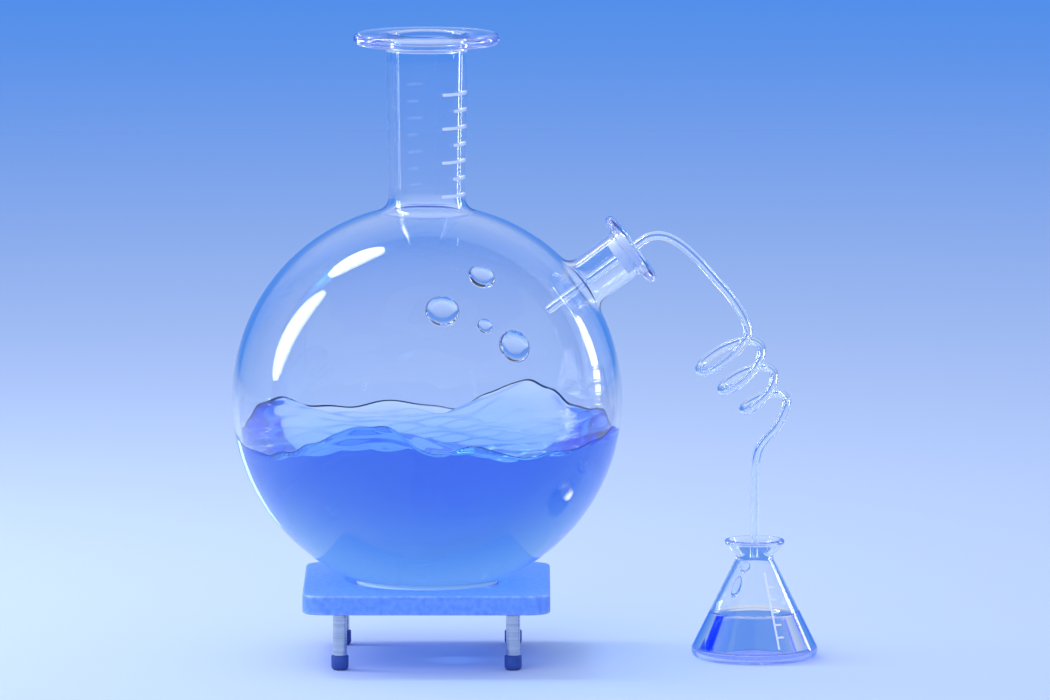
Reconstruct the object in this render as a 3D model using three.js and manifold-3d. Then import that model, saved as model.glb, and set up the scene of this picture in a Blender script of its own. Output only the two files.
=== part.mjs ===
// A small distillation set: a round-bottomed flask with a graduated neck and a side arm, on a low
// four-legged stand; a thin glass delivery tube with a three-turn coil; and a squat conical
// receiving flask. Millimetres, +Z up, the floor at z = 0, the origin in the middle of the
// set's footprint.
import * as THREE from "three";
import { ParametricGeometry } from "three/addons/geometries/ParametricGeometry.js";
import { mergeVertices } from "three/addons/utils/BufferGeometryUtils.js";
import Module from "manifold-3d";

const wasm = await Module();
wasm.setup();

// Pieces that touch in the real set keep this far apart, and so do the parts of one blown piece.
const gap = 0.3;
// How far a cutter runs past what it cuts.
const beyond = 5;

// Round-bottomed flask, one-litre size. Heights are above the bulb's centre.
const bulbRadius = 65.5;
const glassWall = 2;
const shoulderFillet = 5;
const neckFootRadius = 12.8;
const neckTopRadius = 13.7;
const mouthHeight = 123.2;
const rimRadius = 24.5;
const rimThickness = 3.9;
const rimFillet = 2.5;
const neckSeamMargin = 1; // from the fillets to the cuts that part the neck from bulb and rim

// Side arm, pointing straight out of the bulb. Lengths are from the bulb's centre.
const armTilt = 36.5; // degrees above the floor
const armReach = 86.6;
const armRadius = 8.25;
const armWall = 1.8;
const armFillet = 4;
const armRimRadius = 13.2;
const armRimThickness = 3.4;
const armRimFillet = 1.5;
const armFootBite = 0.35; // how deep the fillet at the arm's foot cuts into the bulb
const armBoreDepth = 8; // how deep under the bulb's face its bore starts, clear inside the bulb
const bungLength = 7;
const bungTaper = 0.3;

// Boiling liquid in the bulb: its mean level, and the crests and troughs of its surface.
const liquidLevel = -11.5;
const liquidClearance = 0.6; // from the glass, whose facets cut its corners
const swells = [
  { x: -15, y: -58, height: 9, width: 16 },
  { x: -50, y: -30, height: -4, width: 16 },
  { x: 3, y: -62, height: -5, width: 7 },
  { x: 16, y: -63, height: 4, width: 6 },
  { x: 30, y: -51, height: -2.5, width: 18 },
  { x: 59, y: -18, height: 3.5, width: 6 },
  { x: 33, y: 51, height: 9.5, width: 13 },
  { x: 7, y: 61, height: -2.5, width: 6 },
  { x: -10, y: 59, height: 1.5, width: 8 },
  { x: -51, y: 33, height: 6, width: 12 },
  { x: 58, y: 21, height: 3.5, width: 9 },
];

// Delivery tube: its straight run in the arm, the bend over to the coil, the coil and the drop.
const tubeRadius = 1.5;
const tubeSides = 8;
const inletDepth = 36.6; // inside the arm's mouth
const straightPast = 1; // how far it runs straight past the arm's mouth
const bendPoints = [
  [74.2, 0, 54.5],
  [79.2, 0, 54.9],
  [84.6, -0.2, 52.4],
  [90.8, -0.6, 47],
  [97.2, -1.2, 39.9],
  [102.6, -2.2, 33.6],
];
const coilTurns = 3;
const coilStepsPerTurn = 12;
const coilStart = new THREE.Vector3(97.6, -5, 20.3);
const coilEnd = new THREE.Vector3(115.2, 5, -4.2);
const coilStartRadius = 12;
const coilEndRadius = 6.4;
const coilRise = 34; // degrees that the turns' long way leans up to the right
const coilFacing = 17; // degrees that the coil's upper end leans to the front
const outletPoints = [
  [117.3, -1.1, -9.3],
  [113.9, -1.5, -13],
  [111.3, -0.9, -16.9],
  [110.2, -0.3, -21.2],
];
const dropStart = -26;
const tubeInReceiver = 5.5; // how far the tube's end hangs inside the receiver's mouth

// Receiving flask
const receiverOffset = 110; // its axis, from the round flask's
const receiverBaseRadius = 21.25;
const receiverHeight = 40;
const receiverWall = 1.4;
const receiverCorner = 2.6;
const receiverInnerCorner = 0.4;
const receiverCornerHeight = 3.6;
const throatRadius = 5.9;
const throatHeight = 34.3;
const throatFlare = 0.4; // the first turn outwards above the throat
const throatFlareHeight = 1.4;
const receiverSeam = 30.3; // the cut that parts the mouth from the body
const receiverLipRadius = 10;
const receiverLipThickness = 1.5;
const receiverLipStart = -60; // degrees at which the flare's outside meets the lip's round
const receiverLiquidHeight = 14.6;

// Stand
const plateSide = 82.6;
const plateThickness = 6.6;
const plateCorner = 7;
const plateEdge = 0.8;
const plateTop = 26.6;
const seatSink = 4.5; // how far the bulb sinks below the plate's top
const dishSweep = 30; // degrees from its lowest point to where its cutter ends, above the plate
const padThickness = 0.9;
const padInnerRadius = 10;
const padOuterRadius = 23.4;
const drainRadius = 8;
const legSpacing = 57.8;
const legRadius = 2.35;
const collarRadius = 3.9;
const collarHeight = 1;
const footRadius = 2.9;
const footHeight = 5;
const footFlatRadius = 1.5;
const footChamfer = 0.6;

// Facets of a full circle
const bulbFacets = 32;
const smallFacets = 24;
const rodFacets = 12;

// Straight steps along the delivery tube's bent lengths
const bendSteps = 12;
const turnSteps = 17;
const outletSteps = 12;

const bulbHeight = plateTop - seatSink + bulbRadius;
const liquidRadius = bulbRadius - glassWall - liquidClearance;
const up = new THREE.Vector3(0, 0, 1);
const armAxis = new THREE.Vector3(
  Math.cos(THREE.MathUtils.degToRad(armTilt)),
  0,
  Math.sin(THREE.MathUtils.degToRad(armTilt)),
);

const glass = new THREE.MeshStandardMaterial({
  color: "#cfe2fb",
  roughness: 0.04,
  metalness: 0,
  transparent: true,
  opacity: 0.35,
});
const liquid = new THREE.MeshStandardMaterial({ color: "#2f5df0", roughness: 0.05, metalness: 0 });
const silicone = new THREE.MeshStandardMaterial({ color: "#dfe9f7", roughness: 0.5, metalness: 0 });
const coatedMetal = new THREE.MeshStandardMaterial({ color: "#9dbefa", roughness: 0.45, metalness: 0 });
const steel = new THREE.MeshStandardMaterial({ color: "#b9c3d2", roughness: 0.28, metalness: 1 });
const footRubber = new THREE.MeshStandardMaterial({ color: "#35549c", roughness: 0.7, metalness: 0 });

// Points along a circular arc, from one angle to the other in degrees, both ends included.
function arc(centreX, centreY, radius, from, to, steps) {
  return Array.from({ length: steps + 1 }, (_, i) => {
    const angle = THREE.MathUtils.degToRad(THREE.MathUtils.lerp(from, to, i / steps));
    const x = centreX + radius * Math.cos(angle);
    return new THREE.Vector2(Math.abs(x) < 1e-9 ? 0 : x, centreY + radius * Math.sin(angle));
  });
}

const point = (x, y) => new THREE.Vector2(x, y);

// A surface of revolution about +Z from [radius, height] points.
function lathe(points, facets) {
  return new THREE.LatheGeometry(points, facets).rotateX(Math.PI / 2);
}

function cylinder(radius, from, to, facets) {
  return lathe([point(0, from), point(radius, from), point(radius, to), point(0, to)], facets);
}

function solid(geometry) {
  const bare = new THREE.BufferGeometry();
  bare.setAttribute("position", geometry.getAttribute("position"));
  bare.setIndex(geometry.index);
  const welded = mergeVertices(bare, 1e-3);
  return new wasm.Manifold(
    new wasm.Mesh({
      numProp: 3,
      vertProperties: welded.getAttribute("position").array,
      triVerts: new Uint32Array(welded.index.array),
    }),
  );
}

function geometryOf(manifold) {
  const { numProp, numVert, vertProperties, triVerts } = manifold.getMesh();
  const positions = new Float32Array(numVert * 3);
  for (let i = 0; i < numVert; i++) {
    positions.set(vertProperties.subarray(i * numProp, i * numProp + 3), i * 3);
  }
  const geometry = new THREE.BufferGeometry();
  geometry.setAttribute("position", new THREE.BufferAttribute(positions, 3));
  geometry.setIndex(new THREE.BufferAttribute(triVerts, 1));
  const flat = geometry.toNonIndexed();
  flat.computeVertexNormals();
  return flat;
}

// Turns a geometry made about +Z to lie about the side arm's axis.
function alongArm(geometry) {
  return geometry.applyQuaternion(new THREE.Quaternion().setFromUnitVectors(up, armAxis));
}

// Where a fillet between the bulb and a tube standing on it has its centre, and the angle at
// which it touches the bulb. A bite lets the fillet cut into the bulb by that much.
function filletOn(tubeRadius, fillet, bite = 0) {
  const x = tubeRadius + fillet;
  const height = Math.sqrt((bulbRadius + fillet - bite) ** 2 - x ** 2);
  return { x, height, touch: THREE.MathUtils.radToDeg(Math.atan2(height, x)) };
}

// The flask's profile from the bottom of the bulb to the foot of its neck, inset from its outer
// face.
function flaskProfile(inset) {
  const { x, height, touch } = filletOn(neckFootRadius, shoulderFillet);
  const radius = bulbRadius - inset;
  return [
    ...arc(0, 0, radius, -90, 0, 8),
    ...arc(0, 0, radius, 0, touch, 6).slice(1),
    ...arc(x, height, shoulderFillet + inset, touch + 180, 180, 3).slice(1),
  ];
}

// A rounded flange round a tube's mouth, as the profile's points from its underside to its edge.
function flangeProfile(tube, flange, mouth, thickness, fillet) {
  const half = thickness / 2;
  return [
    ...arc(tube + fillet, mouth - thickness - fillet, fillet, 180, 90, 2),
    ...arc(flange - half, mouth - half, half, -90, 90, 4),
  ];
}

// The whole blown flask, open at its neck and at its arm, about the bulb's centre.
function flaskGlass() {
  const rim = flangeProfile(neckTopRadius, rimRadius, mouthHeight, rimThickness, rimFillet);
  const armRim = flangeProfile(armRadius, armRimRadius, armReach, armRimThickness, armRimFillet);
  const { x, height, touch } = filletOn(armRadius, armFillet, armFootBite);
  const armFoot = arc(x, height, armFillet, touch + 180, 180, 3);
  const body = [...flaskProfile(0), ...rim, point(0, mouthHeight)];
  const arm = [point(0, armFoot[0].y), ...armFoot, ...armRim, point(0, armReach)];
  const top = mouthHeight + beyond;
  const inside = [...flaskProfile(glassWall), point(neckTopRadius - glassWall, top), point(0, top)];
  const armInside = [armRadius - armWall, bulbRadius - armBoreDepth, armReach + beyond];
  const outside = solid(lathe(body, bulbFacets)).add(solid(alongArm(lathe(arm, smallFacets))));
  const hollow = solid(lathe(inside, bulbFacets)).add(
    solid(alongArm(cylinder(...armInside, smallFacets))),
  );
  return outside.subtract(hollow);
}

// The flask's parts, as they are named: the whole is parted by thin cuts across the neck and the
// arm, and round the bulb's middle.
function flaskParts() {
  const whole = flaskGlass();
  const aboutNeck = (from, to) => solid(cylinder(rimRadius + beyond, from, to, rodFacets));
  const aboutBulb = (from, to) => solid(cylinder(bulbRadius + beyond, from, to, rodFacets));
  const aboutArm = (from, to) => solid(alongArm(cylinder(armRimRadius + beyond, from, to, rodFacets)));
  const half = gap / 2;
  const neckSeam = filletOn(neckFootRadius, shoulderFillet).height + neckSeamMargin;
  const rimSeam = mouthHeight - rimThickness - rimFillet - neckSeamMargin;
  const armSeam = filletOn(armRadius, armFillet).height + neckSeamMargin;
  const armRimSeam = armReach - armRimThickness - armRimFillet - neckSeamMargin;
  const bottom = -bulbRadius - beyond;
  const bulb = whole
    .subtract(aboutNeck(neckSeam - half, mouthHeight + beyond))
    .subtract(aboutArm(armSeam - half, armReach + beyond));
  return {
    flask_bulb_lower: bulb.intersect(aboutBulb(bottom, -half)),
    flask_bulb_upper: bulb.intersect(aboutBulb(half, neckSeam)),
    flask_neck: whole.intersect(aboutNeck(neckSeam + half, rimSeam - half)),
    flask_neck_rim: whole.intersect(aboutNeck(rimSeam + half, mouthHeight + beyond)),
    flask_side_arm: whole.intersect(aboutArm(armSeam + half, armRimSeam - half)),
    flask_side_arm_rim: whole.intersect(aboutArm(armRimSeam + half, armReach + beyond)),
  };
}

// How far the boiling lifts the liquid's surface at a place.
function swell(x, y) {
  return swells.reduce(
    (sum, s) => sum + s.height * Math.exp(-((x - s.x) ** 2 + (y - s.y) ** 2) / (2 * s.width ** 2)),
    0,
  );
}

// The liquid in the bulb: v runs up its side to the wavy edge, then in over the surface.
function flaskLiquid() {
  const rows = 13;
  const sideShare = 8 / rows;
  const levelRadius = Math.sqrt(liquidRadius ** 2 - liquidLevel ** 2);
  const place = (u, v, target) => {
    const turn = 2 * Math.PI * u;
    const edge = liquidLevel + swell(levelRadius * Math.cos(turn), levelRadius * Math.sin(turn));
    const edgeAngle = Math.acos(-edge / liquidRadius); // from straight down
    let radius, height;
    if (v <= sideShare) {
      const angle = (edgeAngle * v) / sideShare;
      radius = liquidRadius * Math.sin(angle);
      height = -liquidRadius * Math.cos(angle);
    } else {
      const out = (1 - v) / (1 - sideShare);
      const flat = levelRadius * out;
      radius = liquidRadius * Math.sin(edgeAngle) * out;
      height = liquidLevel + swell(flat * Math.cos(turn), flat * Math.sin(turn));
    }
    target.set(radius * Math.cos(turn), radius * Math.sin(turn), height);
  };
  return new ParametricGeometry(place, bulbFacets, rows);
}

// The bung that closes the arm's mouth round the tube, flush with the arm's face.
function bungGeometry() {
  const outer = armRadius - armWall - gap;
  const hole = tubeRadius + gap;
  const inEnd = armReach - bungLength;
  const profile = [
    point(hole, inEnd),
    point(outer - bungTaper, inEnd),
    point(outer, armReach),
    point(hole, armReach),
    point(hole, inEnd),
  ];
  return alongArm(lathe(profile, smallFacets));
}

// The coil's centreline: a helix whose axis leans, with turns that grow smaller downwards. The
// bends before and after it take the place of its two ends.
function coilPoints() {
  const { degToRad, lerp } = THREE.MathUtils;
  const towards = new THREE.Vector3(0, -1, 0);
  const along = new THREE.Vector3(1, 0, 0).applyAxisAngle(towards, degToRad(coilRise));
  towards.applyAxisAngle(along, degToRad(coilFacing));
  const steps = coilTurns * coilStepsPerTurn;
  return Array.from({ length: steps + 1 }, (_, i) => {
    const turn = (2 * Math.PI * (i + 1)) / coilStepsPerTurn;
    const share = (i + 1) / steps;
    const radius = lerp(coilStartRadius, coilEndRadius, share);
    return new THREE.Vector3()
      .lerpVectors(coilStart, coilEnd, share)
      .addScaledVector(along, radius * Math.cos(turn))
      .addScaledVector(towards, radius * Math.sin(turn));
  });
}

// The stretch of a route between two of its points, which starts a gap beyond the first.
class Stretch extends THREE.Curve {
  constructor(route, from, to) {
    super();
    const step = route.points[from].distanceTo(route.points[from + 1]);
    Object.assign(this, { route, from: from + gap / step, to });
  }
  getPoint(t, target) {
    const steps = this.route.points.length - 1;
    return this.route.getPoint(THREE.MathUtils.lerp(this.from, this.to, t) / steps, target);
  }
}

function rod(curve, steps) {
  const section = new THREE.Shape(arc(0, 0, tubeRadius, 0, 360, tubeSides).slice(0, -1));
  return new THREE.ExtrudeGeometry(section, { steps, extrudePath: curve, bevelEnabled: false });
}

// The delivery tube, as a few lengths that follow one another.
function deliveryTube() {
  const vectors = (points) => points.map((p) => new THREE.Vector3(...p));
  const inlet = armAxis.clone().multiplyScalar(armReach - inletDepth);
  const leaving = armAxis.clone().multiplyScalar(armReach + straightPast);
  const dropTop = new THREE.Vector3(receiverOffset, 0, dropStart);
  const dropFrom = dropTop.clone().setZ(dropStart - gap);
  const dropTo = dropTop.clone().setZ(receiverHeight - tubeInReceiver - bulbHeight);
  const bend = [leaving, ...vectors(bendPoints)];
  const coil = coilPoints();
  const route = new THREE.CatmullRomCurve3(
    [...bend, ...coil, ...vectors(outletPoints), dropTop],
    false,
    "centripetal",
  );
  const coilFrom = bend.length;
  const coilTo = coilFrom + coilTurns * coilStepsPerTurn;
  const lengths = {
    delivery_tube_inlet: rod(new THREE.LineCurve3(inlet, leaving), 1),
    delivery_tube_bend: rod(new Stretch(route, 0, coilFrom), bendSteps),
  };
  for (let i = 0; i < coilTurns; i++) {
    const from = coilFrom + i * coilStepsPerTurn;
    lengths[`delivery_coil_turn_${i + 1}`] = rod(
      new Stretch(route, from, from + coilStepsPerTurn),
      turnSteps,
    );
  }
  lengths.delivery_tube_outlet = rod(new Stretch(route, coilTo, route.points.length - 1), outletSteps);
  lengths.delivery_tube_drop = rod(new THREE.LineCurve3(dropFrom, dropTo), 1);
  return lengths;
}

// The receiver's profile, inset from its outer face: base, cone and flared mouth.
function receiverProfile(inset) {
  const corner = Math.max(receiverCorner - inset, receiverInnerCorner);
  return [
    point(0, inset),
    ...arc(receiverBaseRadius - inset - corner, inset + corner, corner, -90, 0, 2),
    point(receiverBaseRadius - inset, receiverCornerHeight),
    point(throatRadius - inset, throatHeight),
  ];
}

function receiverGlass() {
  const half = receiverLipThickness / 2;
  const innerLip = receiverLipRadius - receiverLipThickness;
  const outside = [
    ...receiverProfile(0),
    point(throatRadius + throatFlare, throatHeight + throatFlareHeight),
    ...arc(receiverLipRadius - half, receiverHeight - half, half, receiverLipStart, 90, 3),
    point(0, receiverHeight),
  ];
  const inside = [
    ...receiverProfile(receiverWall),
    point(throatRadius + throatFlare - receiverWall, throatHeight + throatFlareHeight),
    point(innerLip, receiverHeight),
    point(innerLip, receiverHeight + beyond),
    point(0, receiverHeight + beyond),
  ];
  return solid(lathe(outside, smallFacets)).subtract(solid(lathe(inside, smallFacets)));
}

function receiverParts() {
  const whole = receiverGlass();
  const about = (from, to) => solid(cylinder(receiverBaseRadius + beyond, from, to, rodFacets));
  return {
    receiver_body: whole.intersect(about(-beyond, receiverSeam - gap / 2)),
    receiver_mouth: whole.intersect(about(receiverSeam + gap / 2, receiverHeight + beyond)),
  };
}

function receiverLiquid() {
  const inset = receiverWall + gap;
  const profile = receiverProfile(inset);
  const [foot, throat] = profile.slice(-2);
  const share = (receiverLiquidHeight - foot.y) / (throat.y - foot.y);
  const edge = point(THREE.MathUtils.lerp(foot.x, throat.x, share), receiverLiquidHeight);
  return lathe([...profile.slice(0, -1), edge, point(0, receiverLiquidHeight)], smallFacets);
}

// The plate: a rounded square with a dished seat and a drain hole in its middle.
function plateSolid() {
  const half = plateSide / 2 - plateEdge;
  const turn = half - plateCorner;
  const corners = [
    [turn, turn, 0],
    [-turn, turn, 90],
    [-turn, -turn, 180],
    [turn, -turn, 270],
  ];
  const outline = new THREE.Shape(
    corners.flatMap(([x, y, from]) => arc(x, y, plateCorner, from, from + 90, 4)),
  );
  const slab = new THREE.ExtrudeGeometry(outline, {
    depth: plateThickness - 2 * plateEdge,
    bevelSize: plateEdge,
    bevelThickness: plateEdge,
    bevelSegments: 1,
  }).translate(0, 0, plateTop - plateThickness + plateEdge);
  const dish = lathe(
    [...arc(0, 0, bulbRadius + 2 * gap + padThickness, -90, dishSweep - 90, 4), point(0, 0)],
    smallFacets,
  ).translate(0, 0, bulbHeight);
  const drain = cylinder(drainRadius, 0, plateTop, smallFacets);
  return solid(slab).subtract(solid(dish)).subtract(solid(drain));
}

// The soft pad in the dish, a curved washer between the bulb and the plate.
function seatPad() {
  const inner = bulbRadius + gap;
  const outer = inner + padThickness;
  const angleAt = (radius, reach) => THREE.MathUtils.radToDeg(Math.asin(reach / radius)) - 90;
  const under = arc(0, 0, outer, angleAt(outer, padInnerRadius), angleAt(outer, padOuterRadius), 2);
  const over = arc(0, 0, inner, angleAt(inner, padOuterRadius), angleAt(inner, padInnerRadius), 2);
  return lathe([...under, ...over, under[0]], smallFacets).translate(0, 0, bulbHeight);
}

function legGeometry() {
  const top = plateTop - plateThickness - gap;
  return lathe(
    [
      point(0, footHeight + gap),
      point(legRadius, footHeight + gap),
      point(legRadius, top - collarHeight),
      point(collarRadius, top - collarHeight),
      point(collarRadius, top),
      point(0, top),
    ],
    rodFacets,
  );
}

function footGeometry() {
  const round = footRadius - footFlatRadius;
  return lathe(
    [
      point(0, 0),
      ...arc(footFlatRadius, round, round, -90, 0, 3),
      point(footRadius, footHeight - footChamfer),
      point(footRadius - footChamfer, footHeight),
      point(0, footHeight),
    ],
    rodFacets,
  );
}

const set = new THREE.Group();

function addTo(group, name, geometry, material) {
  const mesh = new THREE.Mesh(geometry, material);
  mesh.name = name;
  group.add(mesh);
  return mesh;
}

const flask = new THREE.Group();
flask.position.z = bulbHeight;
for (const [name, part] of Object.entries(flaskParts())) {
  addTo(flask, name, geometryOf(part), glass);
}
addTo(flask, "flask_liquid", flaskLiquid(), liquid);
addTo(flask, "arm_bung", bungGeometry(), silicone);
for (const [name, geometry] of Object.entries(deliveryTube())) {
  addTo(flask, name, geometry, glass);
}

const receiver = new THREE.Group();
receiver.position.x = receiverOffset;
for (const [name, part] of Object.entries(receiverParts())) {
  addTo(receiver, name, geometryOf(part), glass);
}
addTo(receiver, "receiver_liquid", receiverLiquid(), liquid);

const stand = new THREE.Group();
addTo(stand, "stand_plate", geometryOf(plateSolid()), coatedMetal);
addTo(stand, "stand_seat_pad", seatPad(), silicone);
for (let i = 0; i < 4; i++) {
  const x = (i % 2 ? 1 : -1) * (legSpacing / 2);
  const y = (i < 2 ? -1 : 1) * (legSpacing / 2);
  addTo(stand, `stand_leg_${i + 1}`, legGeometry(), steel).position.set(x, y, 0);
  addTo(stand, `stand_foot_${i + 1}`, footGeometry(), footRubber).position.set(x, y, 0);
}

set.add(flask, receiver, stand);
set.position.x = (bulbRadius - receiverOffset - receiverBaseRadius) / 2;

export default set;
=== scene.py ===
import math

import bmesh
import bpy
import numpy as np
from mathutils import Matrix, Vector


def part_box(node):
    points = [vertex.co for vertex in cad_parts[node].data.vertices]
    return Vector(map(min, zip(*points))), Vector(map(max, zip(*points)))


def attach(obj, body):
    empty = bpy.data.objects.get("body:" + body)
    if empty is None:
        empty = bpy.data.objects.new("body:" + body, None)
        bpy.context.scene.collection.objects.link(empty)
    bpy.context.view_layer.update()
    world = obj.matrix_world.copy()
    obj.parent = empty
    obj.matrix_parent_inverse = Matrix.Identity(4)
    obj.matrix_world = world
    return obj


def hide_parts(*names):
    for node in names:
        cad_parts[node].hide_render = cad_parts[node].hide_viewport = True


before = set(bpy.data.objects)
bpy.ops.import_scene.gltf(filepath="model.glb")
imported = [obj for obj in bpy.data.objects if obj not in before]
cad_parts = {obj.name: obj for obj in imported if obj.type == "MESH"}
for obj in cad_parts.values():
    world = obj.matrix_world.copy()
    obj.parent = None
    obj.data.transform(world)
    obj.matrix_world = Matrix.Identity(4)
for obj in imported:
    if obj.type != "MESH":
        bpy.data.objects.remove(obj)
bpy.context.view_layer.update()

mm = 0.001
up = np.array((0.0, 0.0, 1.0))
right = np.array((1.0, 0.0, 0.0))


# Lengths below are millimetres. The round flask, its arm and the delivery tube are measured from
# the bulb's centre, and the receiving flask from the middle of its base.
def toMillimetres(corners):
    return [np.array(corner) / mm for corner in corners]


bulbLow, bulbHigh = toMillimetres(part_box("flask_bulb_lower"))
bulbRadius = (bulbHigh[0] - bulbLow[0]) / 2
bulbCentre = np.array((bulbLow[0] + bulbRadius, bulbLow[1] + bulbRadius, bulbLow[2] + bulbRadius))
receiverLow, receiverHigh = toMillimetres(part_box("receiver_body"))
receiverBase = np.array(((receiverLow[0] + receiverHigh[0]) / 2, 0.0, receiverLow[2]))


# Profiles and rings

def arc(centreX, centreY, radius, start, end, steps):
    angles = np.radians(np.linspace(start, end, steps + 1))
    return [(centreX + radius * math.cos(a), centreY + radius * math.sin(a)) for a in angles]


def rounded(corners, closed=False, steps=8):
    # A profile through (radius, height, rounding) corners, each turned into an arc.
    points = []
    count = len(corners)
    for i, (x, y, rounding) in enumerate(corners):
        corner = np.array((x, y))
        if rounding == 0 or (not closed and i in (0, count - 1)):
            points.append(tuple(corner))
            continue
        back = np.array(corners[i - 1][:2]) - corner
        ahead = np.array(corners[(i + 1) % count][:2]) - corner
        back /= np.linalg.norm(back)
        ahead /= np.linalg.norm(ahead)
        half = math.acos(float(np.clip(back @ ahead, -1, 1))) / 2
        middle = (back + ahead) / np.linalg.norm(back + ahead)
        centre = corner + middle * rounding / math.sin(half)
        first = corner + back * rounding / math.tan(half) - centre
        last = corner + ahead * rounding / math.tan(half) - centre
        sweep = math.acos(float(np.clip(first @ last / rounding**2, -1, 1)))
        for step in range(steps + 1):
            share = step / steps
            mix = (math.sin((1 - share) * sweep) * first + math.sin(share * sweep) * last)
            points.append(tuple(centre + mix / math.sin(sweep)))
    return points


def spaced(profile, longest):
    # The same profile with its long straights split, so that shading stays even along them.
    points = [profile[0]]
    for start, end in zip(profile, profile[1:]):
        start, end = np.array(start), np.array(end)
        parts = max(1, math.ceil(np.linalg.norm(end - start) / longest))
        points += [tuple(start + (end - start) * (i + 1) / parts) for i in range(parts)]
    return points


def evenAngles(count):
    return np.linspace(0, 2 * math.pi, count, endpoint=False)


def turned(profile, angles, axis=up, side=right):
    # The rings of a turned shape, from a profile of (radius, height) along the axis. A point on
    # the axis becomes a ring of one point.
    across = np.cross(axis, side)
    rings = []
    for radius, height in profile:
        if abs(radius) < 1e-6:
            rings.append(np.array([height * axis]))
        else:
            out = np.outer(np.cos(angles), side) + np.outer(np.sin(angles), across)
            rings.append(height * axis + radius * out)
    return rings


def loft(rings, loop=False):
    # Points and faces of the skin over a row of rings. A loop joins the last ring to the first.
    starts = np.cumsum([0] + [len(ring) for ring in rings])
    faces = []
    for i in range(len(rings) if loop else len(rings) - 1):
        k = (i + 1) % len(rings)
        size = max(len(rings[i]), len(rings[k]))
        for j in range(size):
            n = (j + 1) % size
            if len(rings[i]) == 1:
                faces.append((starts[i], starts[k] + j, starts[k] + n))
            elif len(rings[k]) == 1:
                faces.append((starts[i] + j, starts[k], starts[i] + n))
            else:
                faces.append((starts[i] + j, starts[k] + j, starts[k] + n, starts[i] + n))
    return np.concatenate(rings), faces


def joined(shapes):
    # Several (points, faces) shapes as one.
    points, faces, first = [], [], 0
    for shapePoints, shapeFaces in shapes:
        points.append(shapePoints)
        faces += [tuple(corner + first for corner in face) for face in shapeFaces]
        first += len(shapePoints)
    return np.concatenate(points), faces


def makePiece(name, shape, origin, material, nodes=(), sharp=None):
    # A closed mesh that stands for the named nodes. Edges steeper than sharp degrees stay crisp.
    points, faces = shape
    data = bpy.data.meshes.new(name)
    data.from_pydata(((points + origin) * mm).tolist(), [], [list(map(int, f)) for f in faces])
    work = bmesh.new()
    work.from_mesh(data)
    bmesh.ops.recalc_face_normals(work, faces=work.faces)
    work.to_mesh(data)
    work.free()
    data.shade_smooth()
    if sharp:
        data.set_sharp_from_angle(angle=math.radians(sharp))
    data.materials.append(material)
    piece = bpy.data.objects.new(name, data)
    bpy.context.scene.collection.objects.link(piece)
    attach(piece, "root")
    if nodes:
        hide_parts(*nodes)
    return piece


# Materials

def linear(hexColour):
    # sRGB hex to the linear colour that the shaders take.
    channels = [int(hexColour[i : i + 2], 16) / 255 for i in (1, 3, 5)]
    return (*[c / 12.92 if c <= 0.04045 else ((c + 0.055) / 1.055) ** 2.4 for c in channels], 1.0)


def addNode(tree, kind, settings=None, links=None):
    # A node with its settings (properties or unlinked sockets) and the sockets that feed it. By
    # number, a Map Range reads from 1 to 2 and gives 3 to 4, and a colour Mix goes from 6 to 7.
    node = tree.nodes.new(kind)
    for name, value in (settings or {}).items():
        if isinstance(name, str) and hasattr(node, name):
            setattr(node, name, value)
        else:
            node.inputs[name].default_value = value
    for name, source in (links or {}).items():
        tree.links.new(source, node.inputs[name])
    return node


def newMaterial(name):
    material = bpy.data.materials.new(name)
    material.use_nodes = True
    material.node_tree.nodes.clear()
    return material, material.node_tree


def lettingLightThrough(tree, shader):
    # Clear things cast light shadows: light from lamps and from the floor passes them straight,
    # and only a volume dims what goes through.
    path = addNode(tree, "ShaderNodeLightPath")
    clear = addNode(tree, "ShaderNodeBsdfTransparent", {"Color": (1, 1, 1, 1)})
    for ray in ("Is Shadow Ray", "Is Diffuse Ray"):
        shader = addNode(tree, "ShaderNodeMixShader", links={
            0: path.outputs[ray], 1: shader, 2: clear.outputs[0]}).outputs[0]
    return shader


glass = {
    "colour": "#FBFDFF",
    "ior": 1.473,
    "edgeTint": "#4A86F2",    # what a long way through the wall looks like
    "edgeDensity": 9.0,       # per metre: a 2 mm wall stays clear and a rim turns pale blue
    "swimSize": 16.0,         # mm between the soft waves that blowing leaves
    "swimDepth": 0.012,       # mm
}


def borosilicateGlass():
    # Blown and drawn borosilicate: colourless face on, pale blue where you look along the wall,
    # with reflections that swim a little.
    material, tree = newMaterial("borosilicateGlass")
    place = addNode(tree, "ShaderNodeTexCoord")
    swim = addNode(tree, "ShaderNodeTexNoise", {"Scale": 1 / (glass["swimSize"] * mm), "Detail": 1.0},
                   {"Vector": place.outputs["Object"]})
    bump = addNode(tree, "ShaderNodeBump", {"Strength": 1.0, "Distance": glass["swimDepth"] * mm},
                   {"Height": swim.outputs[0]})
    shader = addNode(tree, "ShaderNodeBsdfPrincipled", {
        "Base Color": linear(glass["colour"]), "Roughness": 0.0, "IOR": glass["ior"],
        "Transmission Weight": 1.0}, {"Normal": bump.outputs[0]})
    tint = addNode(tree, "ShaderNodeVolumeAbsorption", {
        "Color": linear(glass["edgeTint"]), "Density": glass["edgeDensity"]})
    addNode(tree, "ShaderNodeOutputMaterial", links={
        "Surface": lettingLightThrough(tree, shader.outputs[0]), "Volume": tint.outputs[0]})
    return material


liquid = {
    "colour": "#00C4FF",      # light that the dye lets by: red goes first, then green
    "density": 16.0,          # per metre
    "ior": 1.333,
}


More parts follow.
